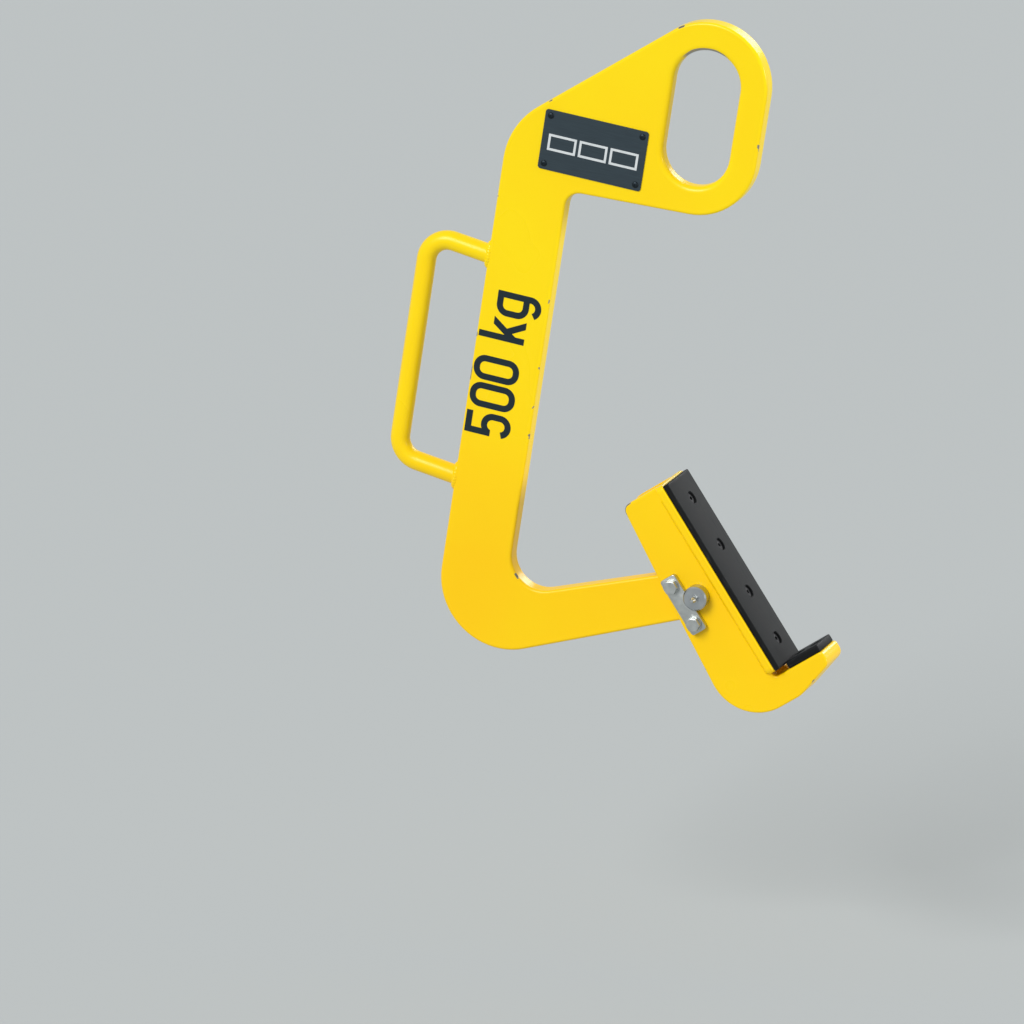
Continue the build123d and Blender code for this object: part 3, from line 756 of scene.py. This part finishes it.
def cast_polyurethane(name, stretch):
    """Polyurethane: dull black with a fine cast grain, and scuffs drawn out where steel slid on it."""
    material, tree, shader = start_material(name, RUBBER_GLOSS[0])
    shader.inputs["Specular IOR Level"].default_value = RUBBER_SPECULAR
    place = add_node(tree, "ShaderNodeTexCoord")
    drawn = add_node(tree, "ShaderNodeMapping", {
        "Vector": place.outputs["Object"], "Rotation": (0, claw_tilt, 0), "Scale": stretch,
    }, vector_type="TEXTURE")
    slide = add_node(tree, "ShaderNodeTexNoise", {
        "Vector": drawn.outputs[0], "Scale": 1 / SCUFF_WIDTH, "Detail": 2.0,
    })
    scuff = add_node(tree, "ShaderNodeMapRange", {
        "Value": slide.outputs["Fac"], "From Min": SCUFF[0], "From Max": SCUFF[1],
    })
    tint = add_node(tree, "ShaderNodeMix", {
        0: scuff.outputs[0], MIX_A: linear(RUBBER), MIX_B: linear(RUBBER_SCUFFED),
    }, data_type="RGBA")
    tree.links.new(tint.outputs[MIX_RESULT], shader.inputs["Base Color"])
    dull = add_node(tree, "ShaderNodeMapRange", {
        "Value": scuff.outputs[0], "To Min": RUBBER_GLOSS[0], "To Max": RUBBER_GLOSS[1],
    })
    tree.links.new(dull.outputs[0], shader.inputs["Roughness"])
    grit = add_node(tree, "ShaderNodeTexNoise", {
        "Vector": place.outputs["Object"], "Scale": 1 / CAST_GRAIN, "Detail": 2.0,
    })
    relief = add_node(tree, "ShaderNodeBump", {
        "Strength": CAST_STRENGTH, "Distance": CAST_DEPTH, "Height": grit.outputs["Fac"],
    })
    tree.links.new(relief.outputs[0], shader.inputs["Normal"])
    return material


leg_polyurethane = cast_polyurethane("cast_polyurethane_on_leg", (1.0, 1.0, SCUFF_STRETCH))
toe_polyurethane = cast_polyurethane("cast_polyurethane_on_toe", (SCUFF_STRETCH, 1.0, 1.0))
print("pad finishes:", leg_polyurethane.name, toe_polyurethane.name)


# %% Blocks with soft edges
def apply_modifier(piece, kind, **settings):
    """Add a modifier with its settings and apply it."""
    make_active(piece)
    modifier = piece.modifiers.new(kind.lower(), kind)
    for name, value in settings.items():
        setattr(modifier, name, value)
    bpy.ops.object.modifier_apply(modifier=modifier.name)


def block(low, high):
    """A cube stretched between two corners."""
    bpy.ops.object.select_all(action="DESELECT")
    bpy.ops.mesh.primitive_cube_add(size=1.0, location=(low + high) / 2)
    piece = bpy.context.object
    piece.scale = high - low
    bpy.ops.object.transform_apply(location=True, rotation=False, scale=True)
    return piece


def soften(piece, width):
    """Round every sharp edge of a piece."""
    apply_modifier(piece, "BEVEL", width=width, segments=3, limit_method="ANGLE",
                   angle_limit=math.radians(30))


# %% Holes in the pads
HOLE_RADIUS = 6.4 * MM
HOLE_STEP = 2 * MM
HOLE_LIP = 0.8 * MM
HOLE_SIDES = 40
BORE_RADIUS = 3.2 * MM


def combine(piece, tool, operation):
    """Unite, cut or intersect a closed mesh with another, which is used up."""
    apply_modifier(piece, "BOOLEAN", operation=operation, solver="EXACT", object=tool)
    bpy.data.objects.remove(tool)


def cut_screw_hole(piece, mouth, inward, thickness):
    """Cut one stepped hole with a sloping lip, from its mouth inwards."""
    cutter = turned(HOLE_SIDES, [
        (HOLE_RADIUS + 2 * HOLE_LIP, -HOLE_LIP), (HOLE_RADIUS, HOLE_LIP), (HOLE_RADIUS, HOLE_STEP),
        (BORE_RADIUS, HOLE_STEP + HOLE_RADIUS - BORE_RADIUS), (BORE_RADIUS, 2 * thickness),
    ])
    turn = inward.to_track_quat("Z", "Y").to_matrix().to_4x4()
    cutter.matrix_world = Matrix.Translation(mouth) @ turn
    combine(piece, cutter, "DIFFERENCE")


# %% Leg pad
PAD_EDGE = 1.2 * MM
CROWN_RADIUS = 260 * MM
CROWN_SIDES = 360
CROWN_STEPS = 48
LEG_SCREWS = 4

screws_low, screws_high = measure("leg_pad_screws", claw_frame)
pad_low, pad_high = measure("leg_pad", claw_frame)
leg_pad = block(pad_low, pad_high)
crown_step = (pad_high.y - pad_low.y) / (CROWN_STEPS - 1)
crown = turned(CROWN_SIDES, [
    (CROWN_RADIUS, pad_low.y + (step - 0.5) * crown_step) for step in range(CROWN_STEPS + 1)
])
crown.matrix_world = (Matrix.Translation((pad_high.x - CROWN_RADIUS, 0, 0))
                      @ Matrix.Rotation(-math.pi / 2, 4, "X"))
combine(leg_pad, crown, "INTERSECT")
soften(leg_pad, PAD_EDGE)
screw_half = (screws_high.z - screws_low.z) / 2
first, last = screws_low.y + screw_half, screws_high.y - screw_half
for i in range(LEG_SCREWS):
    mouth = Vector((pad_high.x, first + (last - first) * i / (LEG_SCREWS - 1), 0))
    cut_screw_hole(leg_pad, mouth, Vector((-1, 0, 0)), pad_high.x - pad_low.x)
smooth(leg_pad, 35)
stand(leg_pad, claw_frame)
hand_over(leg_pad, "leg_pad_cast", "claw", "pad", leg_polyurethane, "leg_pad")

# %% Toe pad
screws_low, screws_high = measure("toe_pad_screws", claw_frame)
pad_low, pad_high = measure("toe_pad", claw_frame)
toe_pad = block(pad_low, pad_high)
soften(toe_pad, PAD_EDGE)
screw_half = (screws_high.z - screws_low.z) / 2
for spot in (screws_low.x + screw_half, screws_high.x - screw_half):
    mouth = Vector((spot, pad_high.y, 0))
    cut_screw_hole(toe_pad, mouth, Vector((0, -1, 0)), pad_high.y - pad_low.y)
smooth(toe_pad, 35)
stand(toe_pad, claw_frame)
hand_over(toe_pad, "toe_pad_cast", "claw", "pad", toe_polyurethane, "toe_pad")

# %% [markdown]
# ## Pin keeper
# A flat bar in a slot of the pin keeps it from turning and from sliding out. It is sawn from bar and
# deburred, so its corners are rounded and its edges broken. One bevel could round all edges alike,
# but the corners are rounder than the rest, so the four upright edges are bevelled first, by
# themselves.

# %% Keeper
KEEPER_CORNER = 3 * MM
KEEPER_EDGE = 0.8 * MM
CORNER_SEGMENTS = 6

keeper_low, keeper_high = measure("pin_keeper", claw_frame)
keeper = block(keeper_low, keeper_high)
bpy.ops.object.mode_set(mode="EDIT")
bpy.ops.mesh.select_mode(type="EDGE")
bpy.ops.mesh.select_all(action="DESELECT")
bpy.ops.object.mode_set(mode="OBJECT")
for edge in keeper.data.edges:
    a, b = (keeper.data.vertices[i].co for i in edge.vertices)
    edge.select = abs(a.z - b.z) > KEEPER_EDGE
bpy.ops.object.mode_set(mode="EDIT")
bpy.ops.mesh.bevel(offset=KEEPER_CORNER, segments=CORNER_SEGMENTS, affect="EDGES")
bpy.ops.object.mode_set(mode="OBJECT")
soften(keeper, KEEPER_EDGE)
smooth(keeper, 35)
stand(keeper, claw_frame)
hand_over(keeper, "pin_keeper_bar", "claw", "zinc_steel", zinc_plate, "pin_keeper")

# %% [markdown]
# ## Hexagon bolts
# Two bolts hold the keeper. A bolt head is a hexagonal bar whose corners are turned off to a cone,
# which leaves the round arcs on its flats. Bevelling the corners would leave straight cuts there, so
# the head is the part that a hexagonal prism and a turned cone have in common.

# %% Hexagon bolts
BOLT_ACROSS_FLATS = 13 * MM
BOLT_RADIUS = 4 * MM
BOLT_SIDES = 32
HEAD_HEIGHT = 5.3 * MM
TURNED_RADIUS = 0.475 * BOLT_ACROSS_FLATS
TURNED_SLOPE = math.radians(30)
TURNED_SIDES = 64

bolt_low, bolt_high = measure("keeper_bolts", claw_frame)
corner_radius = BOLT_ACROSS_FLATS / 2 / math.cos(math.pi / 6)
head_foot = bolt_high.z - HEAD_HEIGHT
cone_width = 2 * corner_radius - TURNED_RADIUS
bolt = turned(6, [(corner_radius, head_foot), (corner_radius, bolt_high.z)])
cone = turned(TURNED_SIDES, [
    (TURNED_RADIUS + cone_width, head_foot - HEAD_HEIGHT),
    (TURNED_RADIUS + cone_width, bolt_high.z - cone_width * math.tan(TURNED_SLOPE)),
    (TURNED_RADIUS, bolt_high.z),
])
combine(bolt, cone, "INTERSECT")
shank = turned(BOLT_SIDES, [(BOLT_RADIUS, bolt_low.z), (BOLT_RADIUS, head_foot + HEAD_HEIGHT / 2)])
combine(bolt, shank, "UNION")
bolt_y = bolt_high.y - BOLT_ACROSS_FLATS / 2
bolt_x = (bolt_low.x + bolt_high.x) / 2
bolts = repeat(bolt, [Vector((bolt_x, y, 0)) for y in (-bolt_y, bolt_y)])
smooth(bolts, 25)
stand(bolts, claw_frame)
hand_over(bolts, "keeper_hex_bolts", "claw", "zinc_steel", zinc_plate, "keeper_bolts")

# %% [markdown]
# ## Lettering
# The safe load is stencilled on the shank in bold, narrow letters that read upwards. Blender's own
# font is wider and has another g, so each letter is drawn from strokes, as a sign painter does it: a
# line down the middle of the stroke is a curve, and a flat rectangle swept along it gives the stroke
# its width. Strokes that touch are united, ends that run over are trimmed with a bisect, and the
# film stands a fraction of a millimetre proud of the enamel.

# %% Strokes
STROKE = 6.6 * MM
FILM_SUNK = 0.1 * MM
FILM_PROUD = 0.25 * MM
MERGE = 0.01 * MM

stroke_half = STROKE / 2
film_middle = (FILM_PROUD - FILM_SUNK) / 2
film_half = (FILM_PROUD + FILM_SUNK) / 2


def poly_curve(name, points, closed, flat):
    """A poly curve through points of a plane."""
    curve = bpy.data.curves.new(name, "CURVE")
    curve.dimensions = "2D" if flat else "3D"
    line = curve.splines.new("POLY")
    line.points.add(len(points) - 1)
    for point, (x, y) in zip(line.points, points):
        point.co = (x, y, 0.0 if flat else film_middle, 1.0)
    line.use_cyclic_u = closed
    piece = bpy.data.objects.new(name, curve)
    bpy.context.collection.objects.link(piece)
    return piece


def stroke(points, closed=False):
    """One stroke of a letter: a flat rectangle swept along its middle line, as a mesh."""
    corners = [(-stroke_half, -film_half), (stroke_half, -film_half),
               (stroke_half, film_half), (-stroke_half, film_half)]
    brush = poly_curve("brush", corners, True, True)
    line = poly_curve("stroke", points, closed, False)
    line.data.twist_mode = "Z_UP"
    line.data.bevel_mode = "OBJECT"
    line.data.bevel_object = brush
    line.data.use_fill_caps = not closed
    make_active(line)
    bpy.ops.object.convert(target="MESH")
    mark = bpy.context.object
    bpy.data.objects.remove(brush)
    bpy.ops.object.mode_set(mode="EDIT")
    bpy.ops.mesh.select_all(action="SELECT")
    bpy.ops.mesh.remove_doubles(threshold=MERGE)
    bpy.ops.mesh.normals_make_consistent(inside=False)
    bpy.ops.object.mode_set(mode="OBJECT")
    return mark


# %% Trimming and uniting strokes
FILM_STEP = 0.06
FLAT_ANGLE = math.radians(0.5)


def trim(mark, place, outward):
    """Cut a mark off at a place, lose what lies outward of it, and close the cut."""
    make_active(mark)
    bpy.ops.object.mode_set(mode="EDIT")
    bpy.ops.mesh.select_all(action="SELECT")
    bpy.ops.mesh.bisect(
        plane_co=(*place, 0), plane_no=(*outward, 0), clear_outer=True, use_fill=True)
    bpy.ops.object.mode_set(mode="OBJECT")
    return mark


def unite(marks):
    """Unite a letter's strokes, each a trace thicker than the last, so that no faces coincide."""
    letter = marks[0]
    for i, mark in enumerate(marks[1:], 1):
        mark.scale.z = 1 + FILM_STEP * i
        combine(letter, mark, "UNION")
    make_active(letter)
    bpy.ops.object.mode_set(mode="EDIT")
    bpy.ops.mesh.select_all(action="SELECT")
    bpy.ops.mesh.dissolve_limited(angle_limit=FLAT_ANGLE)
    bpy.ops.object.mode_set(mode="OBJECT")
    return letter


# %% The nought
CAP_HEIGHT = 48.8 * MM
LETTER_WIDTH = 25.8 * MM
LETTER_BEND = 8.8 * MM
ARC_STEP = math.radians(7)
# Middle lines of the outer strokes. The letters stand on nought, so LEFT is the lowest line as well.
LEFT = stroke_half
RIGHT = LETTER_WIDTH - stroke_half
TOP = CAP_HEIGHT - stroke_half


def bend(x, y, start, end):
    """Points of a letter's bend round a centre, between two angles in degrees."""
    start, end = math.radians(start), math.radians(end)
    steps = max(2, round(abs(end - start) / ARC_STEP))
    angles = [start + (end - start) * i / steps for i in range(steps + 1)]
    return [(x + LETTER_BEND * math.cos(a), y + LETTER_BEND * math.sin(a)) for a in angles]


def draw_zero():
    """A rounded rectangle, anticlockwise from its lower right."""
    left, right = LEFT + LETTER_BEND, RIGHT - LETTER_BEND
    bottom, top = LEFT + LETTER_BEND, TOP - LETTER_BEND
    return stroke(bend(right, bottom, -90, 0) + bend(right, top, 0, 90)
                  + bend(left, top, 90, 180) + bend(left, bottom, 180, 270), closed=True)


# %% The five, the k and the g
SMALL_HEIGHT = 34.6 * MM
FIVE_STEM = LEFT + 0.9 * MM
FIVE_WAIST = 20 * MM
FIVE_OVERRUN = 1.5 * MM
FIVE_START, FIVE_END = 160, -165
K_ARM_FOOT = 11 * MM
K_LEG_HEAD = 21 * MM
K_LEG_START = LEFT + 6 * MM
K_TIP = 22 * MM
K_OVERRUN = 3 * MM
G_TAIL = -1.0 * MM
G_TAIL_END = -150
LETTER_STEP = 0.06 * MM


def draw_five():
    """A bowl, a stem down to it, and a flag that is cut flush with the stem."""
    middle = LETTER_WIDTH / 2
    bowl = stroke(bend(middle, FIVE_WAIST, FIVE_START, 0)
                  + bend(middle, LEFT + LETTER_BEND, 0, FIVE_END))
    flag = stroke([(0, TOP), (RIGHT + FIVE_OVERRUN, TOP)])
    stem = stroke([(FIVE_STEM, TOP), (FIVE_STEM, FIVE_WAIST + FIVE_OVERRUN)])
    return unite([bowl, stem, trim(flag, (FIVE_STEM - stroke_half + LETTER_STEP, 0), (-1, 0))])


def draw_k():
    """A stem, with an arm and a leg that are cut level."""
    arm = stroke([(LEFT, K_ARM_FOOT), (K_TIP, SMALL_HEIGHT + K_OVERRUN)])
    leg = stroke([(K_LEG_START, K_LEG_HEAD), (K_TIP, -K_OVERRUN)])
    stem = stroke([(LEFT, 0), (LEFT, CAP_HEIGHT)])
    return unite([stem, trim(arm, (0, SMALL_HEIGHT), (0, 1)), trim(leg, (0, 0), (0, -1))])


def draw_g():
    """A bowl open to the right, closed by a stem that ends in a hook."""
    crown = SMALL_HEIGHT - stroke_half - LETTER_STEP
    turn = LEFT + LETTER_BEND
    bowl = stroke([(RIGHT, crown)] + bend(turn, crown - LETTER_BEND, 90, 180)
                  + bend(turn, turn, 180, 270) + [(RIGHT, LEFT)])
    hook = stroke([(RIGHT, SMALL_HEIGHT)] + bend(RIGHT - LETTER_BEND, G_TAIL, 0, G_TAIL_END))
    return unite([bowl, hook])


# %% Lettering on the shank
BASELINE = -146.5 * MM
# Where each letter starts along the shank, in millimetres
LETTER_STARTS = (
    (draw_five, -411), (draw_zero, -381.5), (draw_zero, -352.6), (draw_k, -308), (draw_g, -282),
)

upwards = Matrix.Rotation(math.pi / 2, 4, "Z")
marks = []
for draw, start in LETTER_STARTS:
    mark = draw()
    place = Matrix.Translation((BASELINE, start * MM, plate_high.z)) @ upwards
    stand(mark, plate_frame @ place)
    marks.append(mark)
lettering = join(marks)
bpy.ops.object.shade_flat()
hand_over(lettering, "safe_load_lettering", "hook", "sign", slate_ink)

# %% [markdown]
# ## Weld beads
# The bar's ends and the pad carrier are welded on. A weld is laid drop by drop, and each drop sets
# before the next one overlaps it, so a bead shows fine ripples even under thick enamel. Bump would
# draw the ripples, but leave the bead's outline straight. So it is laid here as a welder lays it:
# small flattened balls in a row, joined, and melted into one skin with a voxel remesh and a little
# smoothing. The balls differ slightly in size, as a hand is never quite steady.

# %% Bead helper
MELT = 0.7 * MM
QUICK_WAVER, QUICK_PACE = 0.025, 2.1
SLOW_WAVER, SLOW_PACE = 0.02, 0.45


def lay_bead(drops):
    """Melt drops, given as (place, turn, half sizes), into one closed bead."""
    balls = []
    for i, (place, turn, sizes) in enumerate(drops):
        bpy.ops.object.select_all(action="DESELECT")
        bpy.ops.mesh.primitive_ico_sphere_add(subdivisions=3, radius=1.0)
        ball = bpy.context.object
        swell = 1 + QUICK_WAVER * math.sin(QUICK_PACE * i) + SLOW_WAVER * math.sin(SLOW_PACE * i)
        ball.matrix_world = (Matrix.Translation(place) @ turn.to_matrix().to_4x4()
                             @ Matrix.Diagonal([swell * size for size in sizes] + [1.0]))
        balls.append(ball)
    bead = join(balls)
    bpy.ops.object.transform_apply(location=True, rotation=True, scale=True)
    apply_modifier(bead, "REMESH", mode="VOXEL", voxel_size=MELT, use_smooth_shade=True)
    apply_modifier(bead, "SMOOTH", factor=0.5, iterations=2)
    return bead


# %% Beads round the bar's ends
HANDLE_ENDS = (-225 * MM, -462 * MM)
RING_HEIGHT = 11.2 * MM
RING_DEPTH = 8.0 * MM
RING_DROPS = 26
DROP_LENGTH = 2.4 * MM
DROP_WIDTH = 3.2 * MM
DROP_SPREAD = 1.2 * MM

shank_edge = measure("handle_bar", plate_frame)[1].x
rightward = Vector((1, 0, 0))
ring_beads = []
for level in HANDLE_ENDS:
    drops = []
    for i in range(RING_DROPS):
        angle = 2 * math.pi * i / RING_DROPS
        out = Vector((0, math.cos(angle), math.sin(angle)))
        place = Vector((shank_edge, level + RING_HEIGHT * out.y, RING_DEPTH * out.z))
        width = DROP_WIDTH + DROP_SPREAD * abs(out.y)
        turn = rightward.rotation_difference(out.cross(rightward))
        drops.append((place, turn, (DROP_LENGTH, width, width)))
    ring_beads.append(lay_bead(drops))
handle_beads = join(ring_beads)
stand(handle_beads, plate_frame)
hand_over(handle_beads, "handle_weld_beads", "hook", "yellow_enamel", bar_enamel, "handle_welds")

# %% Beads along the claw's cheeks
BEAD_PITCH = 2.4 * MM
BEAD_DROP = (3.0 * MM, 8.6 * MM, 5.2 * MM)
BEAD_TILT = math.radians(25)
BEAD_END = 4.2 * MM

weld_low, weld_high = measure("claw_welds", claw_frame)
first, last = weld_low.y + BEAD_END, weld_high.y - BEAD_END
count = round((last - first) / BEAD_PITCH)
along = Vector((0, 1, 0))
cheek_beads = []
for side in (1, -1):
    corner = Vector((weld_high.x, 0, side * cheek_high.z))
    away = Vector((-1, 0, side)).normalized()
    lay = math.cos(BEAD_TILT) * along + math.sin(BEAD_TILT) * away
    rise = math.cos(BEAD_TILT) * away - math.sin(BEAD_TILT) * along
    turn = Matrix((lay, rise.cross(lay), rise)).transposed().to_quaternion()
    cheek_beads.append(lay_bead([
        (corner + (first + (last - first) * i / count) * along, turn, BEAD_DROP)
        for i in range(count + 1)
    ]))
claw_beads = join(cheek_beads)
stand(claw_beads, claw_frame)
hand_over(claw_beads, "claw_weld_beads", "claw", "yellow_enamel", bar_enamel, "claw_welds")
